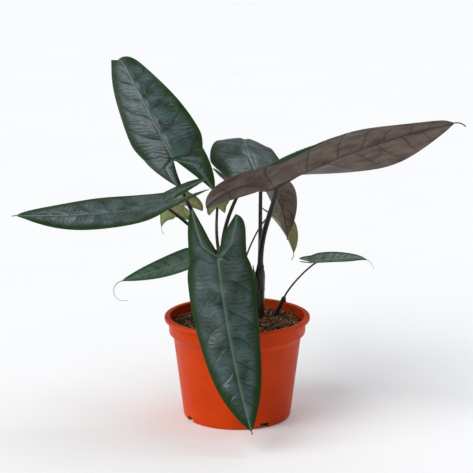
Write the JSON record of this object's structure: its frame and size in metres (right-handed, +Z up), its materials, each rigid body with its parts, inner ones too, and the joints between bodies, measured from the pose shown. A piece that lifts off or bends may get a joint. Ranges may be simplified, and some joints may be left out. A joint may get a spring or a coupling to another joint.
{
  "type": "potted alocasia",
  "caption": "Live alocasia with long arrow-shaped leaves on slender dark petioles, growing in soil in a round tapered plastic grower's pot.",
  "frame": {"origin": "centre of the pot's flat underside, on the surface it stands on", "axes": "+Z up through the pot, -Y towards the viewer, +X to the side that the longest leaf with its underside showing points to"},
  "size_m": [0.4478, 0.3644, 0.3644],
  "materials": {
    "pot_plastic": "satin",
    "potting_mix": "matte",
    "stem_skin": "satin",
    "sheath_skin": "satin",
    "petiole_skin": "satin",
    "leaf_dark": "satin",
    "leaf_pale": "satin"
  },
  "bodies": {
    "root": {"pot": "pot_plastic", "soil": "potting_mix", "main_stem": "stem_skin", "right_stem": "stem_skin", "offset_stem": "stem_skin", "back_stem": "stem_skin", "crown_sheath": "sheath_skin", "crown_back_sheath": "sheath_skin", "right_sheath": "sheath_skin", "left_upright_petiole": "petiole_skin", "left_upright_blade": "leaf_dark", "left_long_petiole": "petiole_skin", "left_long_blade": "leaf_dark", "front_hanging_petiole": "petiole_skin", "front_hanging_blade": "leaf_dark", "right_long_petiole": "petiole_skin", "right_long_blade": "leaf_dark", "back_arching_petiole": "petiole_skin", "back_arching_blade": "leaf_dark", "right_hanging_petiole": "petiole_skin", "right_hanging_blade": "leaf_dark", "left_low_petiole": "petiole_skin", "left_low_blade": "leaf_dark", "right_small_petiole": "petiole_skin", "right_small_blade": "leaf_dark", "left_pale_petiole": "petiole_skin", "left_pale_blade": "leaf_pale", "right_pale_petiole": "petiole_skin", "right_pale_blade": "leaf_pale", "middle_pale_petiole": "petiole_skin", "middle_pale_blade": "leaf_pale"}
  },
  "joints": []
}
